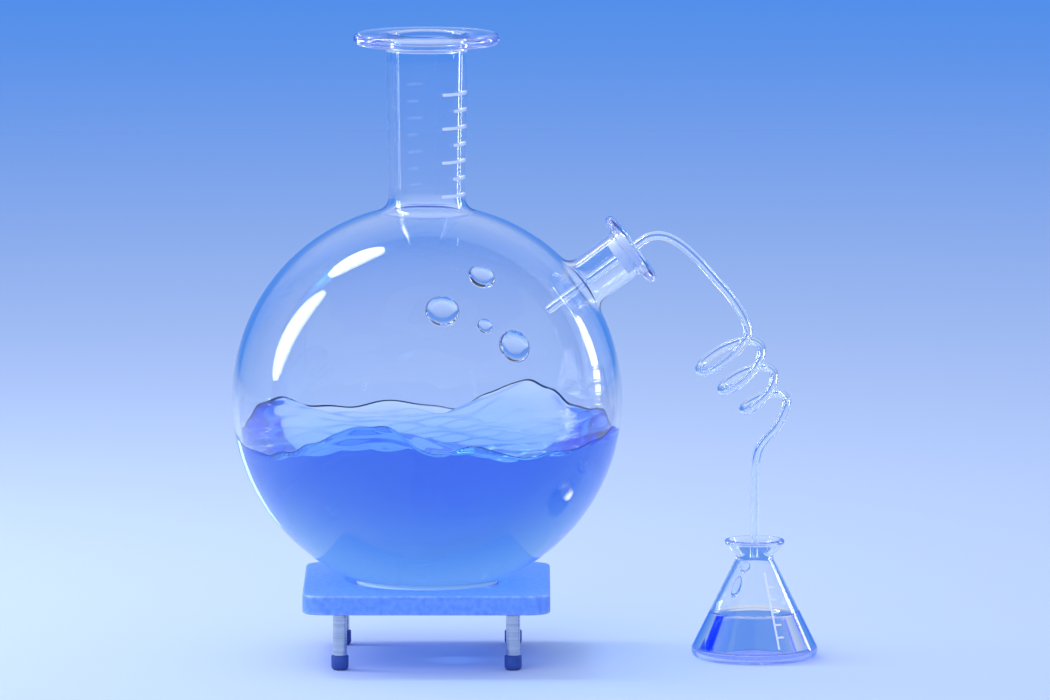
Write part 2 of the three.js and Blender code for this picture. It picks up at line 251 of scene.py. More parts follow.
def dyedWater():
    # Water with a blue dye: clear and bright at a thin edge, royal blue through the bulb.
    material, tree = newMaterial("dyedWater")
    shader = addNode(tree, "ShaderNodeBsdfPrincipled", {
        "Base Color": (1, 1, 1, 1), "Roughness": 0.0, "IOR": liquid["ior"], "Transmission Weight": 1.0})
    dye = addNode(tree, "ShaderNodeVolumeAbsorption", {
        "Color": linear(liquid["colour"]), "Density": liquid["density"]})
    addNode(tree, "ShaderNodeOutputMaterial", links={
        "Surface": lettingLightThrough(tree, shader.outputs[0]), "Volume": dye.outputs[0]})
    return material


# Moulded silicone rubber: milky, letting a little light in, with a soft sheen and a fine matt skin.
silicone = {
    "colour": "#DCE8FC",
    "roughness": 0.45,
    "ior": 1.41,
    "clear": 0.15,            # share of the light that goes into it
    "grain": (0.5, 3.0),      # mm, and how much finer detail it has
    "relief": (0.01, 0.6),    # mm deep, and how strongly that shows
}

# White ceramic ink, printed and fired into the glass: opaque, slightly grainy.
enamel = {
    "colour": "#FCFDFF",
    "roughness": 0.38,
    "ior": 1.5,
    "clear": 0.0,
    "grain": (0.25, 2.0),
    "relief": (0.02, 0.5),
}


def grainedSkin(name, skin):
    material, tree = newMaterial(name)
    (size, detail), (depth, strength) = skin["grain"], skin["relief"]
    place = addNode(tree, "ShaderNodeTexCoord")
    grain = addNode(tree, "ShaderNodeTexNoise", {"Scale": 1 / (size * mm), "Detail": detail},
                    {"Vector": place.outputs["Object"]})
    bump = addNode(tree, "ShaderNodeBump", {"Strength": strength, "Distance": depth * mm},
                   {"Height": grain.outputs[0]})
    shader = addNode(tree, "ShaderNodeBsdfPrincipled", {
        "Base Color": linear(skin["colour"]), "Roughness": skin["roughness"], "IOR": skin["ior"],
        "Transmission Weight": skin["clear"]}, {"Normal": bump.outputs[0]})
    addNode(tree, "ShaderNodeOutputMaterial", links={"Surface": shader.outputs[0]})
    return material


coating = {
    "colour": "#79A7F8",
    "paintedPitShade": "#6494EF",       # painted shade: the coat's colour made darker in the pits between its bumps
    "worn": "#CFE0FD",        # thinner and lighter along the edges
    "roughness": (0.30, 0.46),
    "peel": 1.8,              # mm between the bumps of its orange peel, coarser than real so it shows
    "peelDepth": 0.2,
    "cloud": 18.0,            # mm across the patches of its sheen
}


def powderCoatedAluminium():
    # Cast aluminium plate with a baked powder coat: satin, with a fine orange peel, and painted shade
    # darkening the peel's pits.
    material, tree = newMaterial("powderCoatedAluminium")
    place = addNode(tree, "ShaderNodeTexCoord").outputs["Object"]
    cloud = addNode(tree, "ShaderNodeTexNoise", {"Scale": 1 / (coating["cloud"] * mm), "Detail": 4.0},
                    {"Vector": place})
    peel = addNode(tree, "ShaderNodeTexNoise", {"Scale": 1 / (coating["peel"] * mm), "Detail": 1.5},
                   {"Vector": place})
    # The peel's low places take the darker colour: painted shade in its pits, on top of the bump.
    depth = addNode(tree, "ShaderNodeMapRange", {1: 0.3, 2: 0.65}, {0: peel.outputs[0]})
    colour = addNode(tree, "ShaderNodeMix", {
        "data_type": "RGBA", 6: linear(coating["paintedPitShade"]), 7: linear(coating["colour"])},
        {0: depth.outputs[0]})
    edge = addNode(tree, "ShaderNodeMapRange", {1: 0.51, 2: 0.56},
                   {0: addNode(tree, "ShaderNodeNewGeometry").outputs["Pointiness"]})
    patchy = addNode(tree, "ShaderNodeMapRange", {1: 0.35, 2: 0.6, 3: 0.45}, {0: peel.outputs[0]})
    wear = addNode(tree, "ShaderNodeMath", {"operation": "MULTIPLY"}, {
        0: edge.outputs[0], 1: patchy.outputs[0]})
    worn = addNode(tree, "ShaderNodeMix", {"data_type": "RGBA", 7: linear(coating["worn"])}, {
        0: wear.outputs[0], 6: colour.outputs[2]})
    low, high = coating["roughness"]
    roughness = addNode(tree, "ShaderNodeMapRange", {3: low, 4: high}, {0: cloud.outputs[0]})
    bump = addNode(tree, "ShaderNodeBump", {"Strength": 0.7, "Distance": coating["peelDepth"] * mm},
                   {"Height": peel.outputs[0]})
    shader = addNode(tree, "ShaderNodeBsdfPrincipled", {}, {
        "Base Color": worn.outputs[2], "Roughness": roughness.outputs[0], "Normal": bump.outputs[0]})
    addNode(tree, "ShaderNodeOutputMaterial", links={"Surface": shader.outputs[0]})
    return material


steel = {
    "colour": "#C4CAD5",
    "paintedGrooveShade": "#A9B2C2",      # painted shade: the steel made darker in the lathe's lines
    "roughness": (0.12, 0.26),
    "line": 0.9,              # mm between the lines, coarser than real so they show
    "around": 125.0,          # mm that a line keeps its shade as it runs round the bar
    "lineDepth": 0.08,
}


def turnedStainlessSteel():
    # Stainless bar from a lathe: bright, with fine rings round it, and painted shade in the rings' grooves.
    material, tree = newMaterial("turnedStainlessSteel")
    place = addNode(tree, "ShaderNodeTexCoord").outputs["Object"]
    around, along = 1 / (steel["around"] * mm), 1 / (steel["line"] * mm)
    rings = addNode(tree, "ShaderNodeMapping", {"Scale": (around, around, along)}, {"Vector": place})
    lines = addNode(tree, "ShaderNodeTexNoise", {"Scale": 1.0, "Detail": 3.0}, {"Vector": rings.outputs[0]})
    # The lines' low places take the darker colour: painted shade in the grooves.
    crest = addNode(tree, "ShaderNodeMapRange", {1: 0.35, 2: 0.6}, {0: lines.outputs[0]})
    colour = addNode(tree, "ShaderNodeMix", {
        "data_type": "RGBA", 6: linear(steel["paintedGrooveShade"]), 7: linear(steel["colour"])},
        {0: crest.outputs[0]})
    low, high = steel["roughness"]
    roughness = addNode(tree, "ShaderNodeMapRange", {3: low, 4: high}, {0: lines.outputs[0]})
    bump = addNode(tree, "ShaderNodeBump", {"Strength": 0.5, "Distance": steel["lineDepth"] * mm},
                   {"Height": lines.outputs[0]})
    shader = addNode(tree, "ShaderNodeBsdfPrincipled", {"Metallic": 1.0}, {
        "Base Color": colour.outputs[2], "Roughness": roughness.outputs[0], "Normal": bump.outputs[0]})
    addNode(tree, "ShaderNodeOutputMaterial", links={"Surface": shader.outputs[0]})
    return material


rubber = {
    "colour": "#2F4F9E",
    "dust": "#6F86BC",
    "dustPatch": 5.0,         # mm
    "roughness": 0.62,
    "grain": 0.35,
    "grainDepth": 0.03,
}


def mouldedRubber():
    # Moulded rubber feet: matt, finely grained, with a little dust.
    material, tree = newMaterial("mouldedRubber")
    place = addNode(tree, "ShaderNodeTexCoord").outputs["Object"]
    grain = addNode(tree, "ShaderNodeTexNoise", {"Scale": 1 / (rubber["grain"] * mm), "Detail": 3.0},
                    {"Vector": place})
    dusty = addNode(tree, "ShaderNodeTexNoise", {"Scale": 1 / (rubber["dustPatch"] * mm), "Detail": 5.0},
                    {"Vector": place})
    amount = addNode(tree, "ShaderNodeMapRange", {1: 0.5, 2: 0.8, 4: 0.4}, {0: dusty.outputs[0]})
    colour = addNode(tree, "ShaderNodeMix", {
        "data_type": "RGBA", 6: linear(rubber["colour"]), 7: linear(rubber["dust"])},
        {0: amount.outputs[0]})
    bump = addNode(tree, "ShaderNodeBump", {"Strength": 0.6, "Distance": rubber["grainDepth"] * mm},
                   {"Height": grain.outputs[0]})
    shader = addNode(tree, "ShaderNodeBsdfPrincipled", {"Roughness": rubber["roughness"]}, {
        "Base Color": colour.outputs[2], "Normal": bump.outputs[0]})
    addNode(tree, "ShaderNodeOutputMaterial", links={"Surface": shader.outputs[0]})
    return material


clearGlass = borosilicateGlass()
blueWater = dyedWater()
softSilicone = grainedSkin("mouldedSilicone", silicone)
whiteEnamel = grainedSkin("firedEnamel", enamel)
paleCoating = powderCoatedAluminium()
brightSteel = turnedStainlessSteel()
footRubber = mouldedRubber()
print("materials made")


# Round flask: one blown piece of glass, with a neck and a side arm

flask = {
    "wall": 2.0,
    "segments": 208,          # round the neck and round the arm
    "rings": 150,             # over the bulb, from the neck's foot to the arm's
    "spacing": 4.0,           # longest step along a spout's straight wall
    "crowding": 0.3,          # under 1 draws the meridians together on the side away from both
    "filletSteps": 12,
    "rimRound": 0.49,         # over the rim's thickness: under half, so that its two rounds don't meet
}
neck = {
    "axis": up,
    "foot": 12.8,
    "top": 13.7,
    "wall": 2.0,
    "fillet": 5.0,            # at the shoulder
    "mouth": 123.2,
    "rim": 24.5,
    "rimThickness": 3.9,
    "rimFillet": 2.5,
    "lipRound": 1.3,          # the fire-polished inner edge
}
armTilt = math.radians(36.5)
arm = {
    "axis": np.array((math.cos(armTilt), 0.0, math.sin(armTilt))),
    "foot": 8.25,
    "top": 8.25,
    "wall": 1.8,
    "fillet": 4.0,
    "mouth": 86.6,
    "rim": 13.2,
    "rimThickness": 3.4,
    "rimFillet": 1.5,
    "lipRound": 0.9,
}


def filletOf(spout):
    # Where the fillet at a spout's foot has its centre, and the angle at which it meets the bulb.
    x = spout["foot"] + spout["fillet"]
    height = math.sqrt((bulbRadius + spout["fillet"]) ** 2 - x**2)
    return x, height, math.degrees(math.atan2(height, x))


def spoutProfile(spout):
    # From the bulb's outer face up the spout's outside, over its rim and down inside.
    x, height, touch = filletOf(spout)
    under = spout["mouth"] - spout["rimThickness"]
    edge = flask["rimRound"] * spout["rimThickness"]
    steps = flask["filletSteps"]
    outside = arc(x, height, spout["fillet"], touch + 180, 180, steps)
    wall = rounded([
        (spout["foot"], height, 0),
        (spout["top"], under, spout["rimFillet"]),
        (spout["rim"], under, edge),
        (spout["rim"], spout["mouth"], edge),
        (spout["top"] - spout["wall"], spout["mouth"], spout["lipRound"]),
        (spout["foot"] - spout["wall"], height, 0),
    ], steps=10)
    inside = []
    for i in range(steps + 1):
        share = i / steps
        radius = spout["fillet"] + spout["wall"] + (flask["wall"] - spout["wall"]) * share
        inside += arc(x, height, radius, 180 + touch * share, 180, 0)
    return spaced(outside[1:] + wall[1:-1] + inside[:-1], flask["spacing"])


def boosted(points, velocity):
    # Moves points on a unit sphere so that circles stay circles: those near the velocity's end
    # spread out and the others draw together.
    speed = np.linalg.norm(velocity)
    along = velocity / speed
    part = points @ along
    straight = np.outer(part - speed, along)
    across = (points - np.outer(part, along)) * math.sqrt(1 - speed**2)
    return (straight + across) / (1 - speed * part)[:, None]


# The angle between the neck and the arm, and from each of them the way that leads off from the other.
betweenAxes = math.acos(neck["axis"] @ arm["axis"])
neckSide = -(arm["axis"] - neck["axis"] * math.cos(betweenAxes)) / math.sin(betweenAxes)
armSide = -(neck["axis"] - arm["axis"] * math.cos(betweenAxes)) / math.sin(betweenAxes)


def bulbGrid():
    # Rings over the unit bulb, from the circle at the neck's foot to the one at the arm's foot.
    # A boost makes the two circles parallel, the rings lie evenly between them, and the opposite
    # boost takes them back. The grid has no pole and no seam.
    openings = [math.radians(90 - filletOf(spout)[2]) for spout in (neck, arm)]
    across = np.cross(neck["axis"], neckSide)
    cosines = [math.cos(opening) for opening in openings]
    both = math.cos(betweenAxes)
    shares = np.linalg.solve(np.array(((1, both), (both, 1))), np.array(cosines))
    meeting = shares[0] * neck["axis"] + shares[1] * arm["axis"]
    velocity = meeting / (meeting @ meeting)

    def inPlane(angles):
        # Angles run from the neck towards the arm.
        return np.outer(np.cos(angles), neck["axis"]) + np.outer(np.sin(angles), -neckSide)

    near, far = boosted(inPlane(np.array((openings[0], -openings[0]))), velocity)
    outwards = (far - near) / np.linalg.norm(far - near)
    middle = np.cross(outwards, across)
    farSide = np.linspace(-openings[0], betweenAxes + openings[1] - 2 * math.pi, flask["rings"] + 1)
    heights = boosted(inPlane(farSide), velocity) @ middle
    turn = evenAngles(flask["segments"])
    meridians = 2 * np.arctan2(flask["crowding"] * np.sin(turn / 2), np.cos(turn / 2))
    circle = np.outer(np.cos(meridians), outwards) + np.outer(np.sin(meridians), across)
    return [boosted(h * middle + math.sqrt(1 - h * h) * circle, -velocity) for h in heights]


def anglesRound(ring, axis, side):
    across = np.cross(axis, side)
    return np.arctan2(ring @ across, ring @ side)


grid = bulbGrid()
neckAngles = anglesRound(grid[0], neck["axis"], neckSide)
armAngles = anglesRound(grid[-1], arm["axis"], armSide)
neckRings = turned(spoutProfile(neck), neckAngles, neck["axis"], neckSide)
armRings = turned(spoutProfile(arm), armAngles, arm["axis"], armSide)
outerBulb = [ring * bulbRadius for ring in grid]
innerBulb = [ring * (bulbRadius - flask["wall"]) for ring in grid]
flaskGlass = makePiece(
    "flask_glass", loft(outerBulb + armRings + innerBulb[::-1] + neckRings[::-1], loop=True),
    bulbCentre, clearGlass,
    ["flask_bulb_lower", "flask_bulb_upper", "flask_neck", "flask_neck_rim", "flask_side_arm",
     "flask_side_arm_rim"])
print("flask glass made:", len(flaskGlass.data.polygons), "faces")


# Boiling liquid in the bulb

boil = {
    "level": -11.5,
    "overlap": 0.15,          # into the glass, so that no air shows between them
    "swells": [               # (x, y, height, width) of the crests and troughs
        (-15, -58, 9, 16), (-50, -30, -4, 16), (3, -62, -5, 7), (16, -63, 4, 6),
        (30, -51, -2.5, 18), (59, -18, 3.5, 6), (33, 51, 9.5, 13), (7, 61, -2.5, 6),
        (-10, 59, 1.5, 8), (-51, 33, 6, 12), (58, 21, 3.5, 9),
    ],
    "ripples": [              # (wave along x, wave along y, height), small chop on the swells
        (23, 31, 0.35), (-17, 26, 0.30), (13, -15, 0.18), (37, -11, 0.25),
    ],
    "meniscus": 1.5,          # how far the edge climbs the glass
    "meniscusWidth": 1.6,
    "segments": 288,
    "sideRings": 70,
    "topRings": 90,
    "crowding": 1.6,          # over 1 draws the surface's rings together at the wall
}


def surfaceHeight(x, y):
    height = np.full_like(x, boil["level"])
    for centreX, centreY, swell, width in boil["swells"]:
        height += swell * np.exp(-((x - centreX) ** 2 + (y - centreY) ** 2) / (2 * width**2))
    for waveX, waveY, ripple in boil["ripples"]:
        height += ripple * np.sin(2 * math.pi * (x / waveX + y / waveY))
    return height


def boilingLiquid():
    radius = bulbRadius - flask["wall"] + boil["overlap"]
    flat = math.sqrt(radius**2 - boil["level"] ** 2)
    angles = evenAngles(boil["segments"])
    ways = np.stack((np.cos(angles), np.sin(angles)), axis=1)
    edge = surfaceHeight(flat * ways[:, 0], flat * ways[:, 1]) + boil["meniscus"]
    reach = np.sqrt(radius**2 - edge**2)
    edgeAngle = np.arccos(-edge / radius)
    rings = [np.array([(0.0, 0.0, -radius)])]
    for i in range(1, boil["sideRings"] + 1):
        angle = edgeAngle * i / boil["sideRings"]
        rings.append(np.column_stack((radius * np.sin(angle)[:, None] * ways, -radius * np.cos(angle))))
    for i in range(1, boil["topRings"]):
        out = 1 - (i / boil["topRings"]) ** boil["crowding"]
        fromWall = reach * (1 - out)
        height = surfaceHeight(flat * out * ways[:, 0], flat * out * ways[:, 1])
        height += boil["meniscus"] * np.exp(-fromWall / boil["meniscusWidth"])
        rings.append(np.column_stack(((reach * out)[:, None] * ways, height)))
    middle = surfaceHeight(np.zeros(1), np.zeros(1))[0]
    rings.append(np.array([(0.0, 0.0, middle)]))
    return loft(rings)


makePiece("flask_liquid_blue", boilingLiquid(), bulbCentre, blueWater, ["flask_liquid"])
print("boiling liquid made")


# Drops that cling inside the front of the bulb and of the receiver, above the liquid

drops = {
    "inBulb": [               # (x, z, radius) from the bulb's centre
        (18.3, 45.4, 4.6), (5.5, 35.5, 5.6), (19.4, 30.5, 2.6), (29.1, 23.8, 5.6),
    ],
    "inReceiver": [           # (x, z, radius, length over width) from its base: one runs down
        (-3.1, 31.0, 1.7, 1.2), (-5.9, 24.6, 1.6, 2.5),
    ],
    "bulge": 0.42,            # height over radius
    "sag": 0.22,              # how far the top hangs down, over radius
    "overlap": 0.2,           # into the glass
    "segments": 48,
    "rings": 16,
}


def clingingDrop(spot, inwards, radius, length, onWall):
    # A low cap that sags. onWall(points, depth) lays points on the glass, or that deep in it. A
    # ring of one point closes each end.
    down = -up - (-up @ inwards) * inwards
    down /= np.linalg.norm(down)
    angles = evenAngles(drops["segments"])
    flat = np.outer(np.cos(angles), np.cross(inwards, down)) + length * np.outer(np.sin(angles), down)
    rings = [onWall(spot + radius * flat * share, drops["overlap"]) for share in (0, 0.5, 1)]
    for share in np.linspace(0, 1, drops["rings"] + 1):
        out = radius * math.cos(share * math.pi / 2)
        rise = radius * drops["bulge"] * math.sin(share * math.pi / 2)
        lean = inwards * rise + down * radius * drops["sag"] * share**2
        rings.append(onWall(spot + out * flat, 0) + lean)
    return loft([rings[0][:1]] + rings[1:-1] + [rings[-1][:1]])


def bulbDrop(x, z, radius):
    inner = bulbRadius - flask["wall"]
    spot = np.array((x, -math.sqrt(inner**2 - x**2 - z**2), z))

    def onWall(points, depth):
        return points / np.linalg.norm(points, axis=1)[:, None] * (inner + depth)

    return clingingDrop(spot, -spot / inner, radius, 1.0, onWall)


makePiece("condensed_drops", joined([bulbDrop(*place) for place in drops["inBulb"]]),
          bulbCentre, blueWater)
print("bulb's drops made")


# Thin delivery tube: up the arm, over, three shrinking turns, and down into the receiver

tube = {
    "radius": 1.5,
    "bore": 0.75,
    "inletDepth": 36.6,       # from the arm's mouth
    "straightPast": 1,        # how far it runs on past that mouth before it bends
    "bend": [(74.2, 0, 54.5), (79.2, 0, 54.9), (84.6, -0.2, 52.4), (90.8, -0.6, 47),
             (97.2, -1.2, 39.9), (102.6, -2.2, 33.6)],
    "turns": 3,
    "stepsPerTurn": 12,
    "coilStart": np.array((97.6, -5, 20.3)),
    "coilEnd": np.array((115.2, 5, -4.2)),
    "coilRadii": (12.0, 6.4),
    "coilRise": 34,           # degrees that the turns' long way leans up to the right
    "coilFacing": 17,         # degrees that the coil's upper end leans to the front
    "outlet": [(117.3, -1.1, -9.3), (113.9, -1.5, -13), (111.3, -0.9, -16.9), (110.2, -0.3, -21.2)],
    "dropStart": -26.0,
    "inReceiver": 5.5,        # how far it hangs into the receiver's mouth
    "spacing": 2.0,           # longest step along its straights
    "sides": 28,
    "ringsPerSpan": 8,
}
receiverAxis = receiverBase[0] - bulbCentre[0]
receiverHeight = toMillimetres(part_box("receiver_mouth"))[1][2]


def coilPoints():
    towards = Vector((0, -1, 0))
    along = Matrix.Rotation(math.radians(tube["coilRise"]), 3, towards) @ Vector((1, 0, 0))
    towards = Matrix.Rotation(math.radians(tube["coilFacing"]), 3, along) @ towards
    towards, along = np.array(towards), np.array(along)
    steps = tube["turns"] * tube["stepsPerTurn"]
    first, last = tube["coilRadii"]
    points = []
    for i in range(1, steps + 2):
        turn = 2 * math.pi * i / tube["stepsPerTurn"]
        share = i / steps
        centre = tube["coilStart"] + (tube["coilEnd"] - tube["coilStart"]) * share
        radius = first + (last - first) * share
        points.append(centre + radius * (along * math.cos(turn) + towards * math.sin(turn)))
    return points


def smoothRoute(points, perSpan):
    # A centripetal curve through the points, which doesn't overshoot where they lie close.
    points = np.array(points, dtype=float)
    padded = np.vstack((2 * points[0] - points[1], points, 2 * points[-1] - points[-2]))
    route = []
    for a, b, c, d in zip(padded, padded[1:], padded[2:], padded[3:]):
        before, here, after = (math.sqrt(np.linalg.norm(q - p)) for p, q in ((a, b), (b, c), (c, d)))
        leave = ((b - a) / before - (c - a) / (before + here) + (c - b) / here) * here
        arrive = ((c - b) / here - (d - b) / (here + after) + (d - c) / after) * here
        for t in np.arange(perSpan) / perSpan:
            route.append(
                b + leave * t + (-3 * b + 3 * c - 2 * leave - arrive) * t**2
                + (2 * b - 2 * c + leave + arrive) * t**3)
    route.append(points[-1])
    return np.array(route)


def sweptTube(path, radius, bore, sides):
    # Rings of a hollow tube along a path, with fire-polished ends. The section doesn't twist.
    tangents = np.gradient(path, axis=0)
    tangents /= np.linalg.norm(tangents, axis=1)[:, None]
    side = np.cross(tangents[0], (0.0, 1.0, 0.0))
    side /= np.linalg.norm(side)
    frames = []
    for tangent in tangents:
        side = side - (side @ tangent) * tangent
        side /= np.linalg.norm(side)
        frames.append((side, np.cross(tangent, side)))
    angles = evenAngles(sides)

    def ring(i, reach, ahead):
        across, over = frames[i]
        flat = np.outer(np.cos(angles), across) + np.outer(np.sin(angles), over)
        return path[i] + tangents[i] * ahead + flat * reach

    half = (radius - bore) / 2
    middle = bore + half
    lip = [(middle + half * math.cos(a), half * math.sin(a)) for a in np.radians(np.arange(0, 181, 22.5))]
    outside = [ring(i, radius, 0) for i in range(len(path))]
    farEnd = [ring(-1, reach, ahead) for reach, ahead in lip[1:-1]]
    inside = [ring(i, bore, 0) for i in range(len(path) - 1, -1, -1)]
    nearEnd = [ring(0, reach, -ahead) for reach, ahead in lip[::-1][1:-1]]
    return outside + farEnd + inside + nearEnd


def straight(start, end):
    parts = math.ceil(np.linalg.norm(end - start) / tube["spacing"])
    return [start + (end - start) * i / parts for i in range(parts)]


def deliveryPath():
    polish = (tube["radius"] - tube["bore"]) / 2
    inlet = arm["axis"] * (arm["mouth"] - tube["inletDepth"] + polish)
    leaving = arm["axis"] * (arm["mouth"] + tube["straightPast"])
    dropTop = np.array((receiverAxis, 0, tube["dropStart"]))
    end = receiverBase[2] + receiverHeight - tube["inReceiver"] - bulbCentre[2] + polish
    dropEnd = np.array((receiverAxis, 0, end))
    bends = smoothRoute(
        [leaving, *tube["bend"], *coilPoints(), *tube["outlet"], dropTop], tube["ringsPerSpan"])
    return np.vstack((straight(inlet, leaving), bends[:-1], straight(dropTop, dropEnd), dropEnd))


deliveryTube = makePiece(
    "delivery_tube", loft(sweptTube(deliveryPath(), tube["radius"], tube["bore"], tube["sides"]), loop=True),
    bulbCentre, clearGlass,
    ["delivery_tube_inlet", "delivery_tube_bend", "delivery_coil_turn_1", "delivery_coil_turn_2",
     "delivery_coil_turn_3", "delivery_tube_outlet", "delivery_tube_drop"])
print("delivery tube made:", len(deliveryTube.data.polygons), "faces")


# Silicone bung that closes the arm round the tube

bung = {
    "length": 7.0,
    "taper": 0.3,
    "squeeze": 0.03,          # into the glass all round, so that no gap shows
    "edge": 0.5,
    "holeEdge": 0.25,
    "sunk": (0.6, 0.2),       # below the arm's mouth, at the wall and at the tube
    "segments": 72,
}


def bungShape():
    outer = arm["top"] - arm["wall"] + bung["squeeze"]
    hole = tube["radius"] - bung["squeeze"]
    inEnd = arm["mouth"] - bung["length"]
    atWall, atTube = bung["sunk"]
    profile = rounded([
        (hole, inEnd, bung["holeEdge"]),
        (outer - bung["taper"], inEnd, bung["edge"]),
        (outer, arm["mouth"] - atWall, bung["edge"]),
        (hole, arm["mouth"] - atTube, bung["holeEdge"]),
    ], closed=True)
    return loft(turned(profile, evenAngles(bung["segments"]), arm["axis"], armSide), loop=True)


makePiece("bung", bungShape(), bulbCentre, softSilicone, ["arm_bung"])
print("bung made")


# Squat conical receiving flask and the liquid in it

receiver = {
    "base": (receiverHigh[0] - receiverLow[0]) / 2,
    "wall": 1.4,
    "throat": 5.9,
    "throatHeight": 34.4,
    "heel": 3.6,              # where the cone starts
    "kick": 0.6,              # how far the base is pushed up
    "standing": 4.5,          # width of the ring it stands on
    "outerRounds": (1.5, 2.6, 2.0, 2.0),  # in and out of that ring, at the heel and the throat
    "innerRounds": (2.0, 1.5, 2.4),  # at the floor, the heel and the throat
    "innerThroat": 0.2,       # how much higher the throat is inside
    "lip": 10.0,
    "lipThickness": 1.5,
    "lipDepth": 1.25,
    "lipRound": 0.45,         # over the lip's thickness
    "level": 14.6,
    "meniscus": 1.0,
    "meniscusWidth": 1.1,
    "surfaceRings": 40,
    "crowding": 1.6,          # over 1 draws those rings together at the wall
    "overlap": 0.12,
    "spacing": 1.5,           # longest step along the glass
    "liquidSpacing": 1.0,
    "segments": 144,
}


def receiverInside(grow=0.0):
    # Corners of its inner face from the middle of the floor up to the throat.
    wall = receiver["wall"] - grow
    floorRound, heelRound, throatRound = receiver["innerRounds"]
    return [
        (0, receiver["kick"] + wall, 0),
        (receiver["base"] - wall, wall, floorRound),
        (receiver["base"] - wall, receiver["heel"], heelRound),
        (receiver["throat"] - wall, receiver["throatHeight"] + receiver["innerThroat"], throatRound),
    ]


def receiverShape():
    base, lip = receiver["base"], receiver["lip"]
    ringRound, baseRound, heelRound, throatRound = receiver["outerRounds"]
    edge = receiver["lipRound"] * receiver["lipThickness"]
    outside = [
        (0, receiver["kick"], 0),
        (base - receiver["standing"], 0, ringRound),
        (base, 0, baseRound),
        (base, receiver["heel"], heelRound),
        (receiver["throat"], receiver["throatHeight"], throatRound),
        (lip, receiverHeight - receiver["lipDepth"], edge),
        (lip, receiverHeight, edge),
        (lip - receiver["lipThickness"], receiverHeight, edge),
    ]
    profile = spaced(rounded(outside + receiverInside()[::-1]), receiver["spacing"])
    return loft(turned(profile, evenAngles(receiver["segments"])))


def receiverLiquidShape():
    inside = receiverInside(receiver["overlap"])
    heel, throat = np.array(inside[2][:2]), np.array(inside[3][:2])
    edgeHeight = receiver["level"] + receiver["meniscus"]
    edge = heel + (throat - heel) * (edgeHeight - heel[1]) / (throat[1] - heel[1])
    profile = spaced(rounded(inside[:3] + [(*edge, 0)]), receiver["liquidSpacing"])
    for share in np.linspace(0, 1, receiver["surfaceRings"])[1:] ** receiver["crowding"]:
        rise = receiver["meniscus"] * math.exp(-edge[0] * share / receiver["meniscusWidth"])
        profile.append((edge[0] * (1 - share), receiver["level"] + rise))
    return loft(turned(profile, evenAngles(receiver["segments"])))


receiverSlope = (receiver["base"] - receiver["throat"]) / (receiver["throatHeight"] - receiver["heel"])


def coneRadius(height):
    return receiver["base"] - receiverSlope * (height - receiver["heel"])


def receiverDrop(x, z, radius, length):
    inner = coneRadius(z) - receiver["wall"]
    out = np.array((x / inner, -math.sqrt(1 - (x / inner) ** 2), 0.0))
    inwards = -(out + up * receiverSlope)
    inwards /= np.linalg.norm(inwards)

    def onWall(points, depth):
        heights = points[:, 2:]
        ways = points[:, :2] / np.linalg.norm(points[:, :2], axis=1)[:, None]
        return np.hstack((ways * (coneRadius(heights) - receiver["wall"] + depth), heights))

    return clingingDrop(out * inner + up * z, inwards, radius, length, onWall)


makePiece("receiver_glass", receiverShape(), receiverBase, clearGlass,
          ["receiver_body", "receiver_mouth"])
makePiece("receiver_liquid_blue", receiverLiquidShape(), receiverBase, blueWater,
          ["receiver_liquid"])
makePiece("receiver_drops", joined([receiverDrop(*place) for place in drops["inReceiver"]]),
          receiverBase, blueWater)
print("receiver made")


# White enamel scales on the neck and on the receiver

scales = {
    "stroke": 1.0,            # width of a mark
    "proud": 0.06,            # how far it stands out of the glass
    "sunk": 0.05,
    "edge": 0.05,
    "turnStep": 1.5,          # degrees between a neck mark's rings
    "neckTop": 103.4,
    "neckStep": 5.7,
    "neckMarks": 7,
    "longMark": 64,           # degrees round to the front from the right-hand edge
    "shortMark": 44,
    "overEdge": 5,            # degrees that each mark runs on behind that edge
    "receiverTurn": -67,      # degrees from the right-hand edge to the receiver's upright line
    "receiverLine": (5.5, 29.5),
    "lineRings": 30,
    "receiverMarks": (9, 13, 17, 21, 25),
    "receiverMark": 2.3,
    "markRings": 8,
    "markStart": 0.02,        # over a mark's length: just clear of the line's middle
    "receiverStroke": 0.7,
}


def enamelStroke(path, normals, width):
    # A mark along a path on the glass: a low pad with rounded ends.
    path, normals = np.array(path), np.array(normals)
    tangents = np.gradient(path, axis=0)
    tangents /= np.linalg.norm(tangents, axis=1)[:, None]
    sides = np.cross(normals, tangents)
    edge, sunk, proud = scales["edge"], scales["sunk"], scales["proud"]
    outline = rounded([
        (-0.5 * width, -sunk, 0), (-0.5 * width, proud, edge),
        (0.5 * width, proud, edge), (0.5 * width, -sunk, 0)], steps=3)
    rings = []
    ends = ((-0.5, 0.05), (-0.43, 0.5), (-0.25, 0.87))  # (how far along, how wide), over the width
    stations = [(0, shift * width, size) for shift, size in ends]
    stations += [(i, 0.0, 1.0) for i in range(len(path))]
    stations += [(-1, -shift * width, size) for shift, size in reversed(ends)]
    for i, shift, size in stations:
        across = np.array([x * size for x, _ in outline])
        out = np.array([y for _, y in outline])
        rings.append(
            path[i] + tangents[i] * shift + np.outer(across, sides[i]) + np.outer(out, normals[i]))
    points, faces = loft(rings)
    size = len(outline)
    last = len(points) - size
    faces.append(tuple(range(size)))
    faces.append(tuple(last + i for i in reversed(range(size))))
    return points, faces


def neckScale():
    low, high = filletOf(neck)[1], neck["mouth"] - neck["rimThickness"]
    marks = []
    for i in range(scales["neckMarks"]):
        height = scales["neckTop"] - i * scales["neckStep"]
        share = (height - low) / (high - low)
        radius = neck["foot"] + (neck["top"] - neck["foot"]) * share
        reach = scales["shortMark"] if i % 2 else scales["longMark"]
        angles = np.radians(np.arange(-reach, scales["overEdge"] + 1, scales["turnStep"]))
        normals = np.column_stack((np.cos(angles), np.sin(angles), np.zeros_like(angles)))
        marks.append(enamelStroke(normals * radius + up * height, normals, scales["stroke"]))
    return joined(marks)


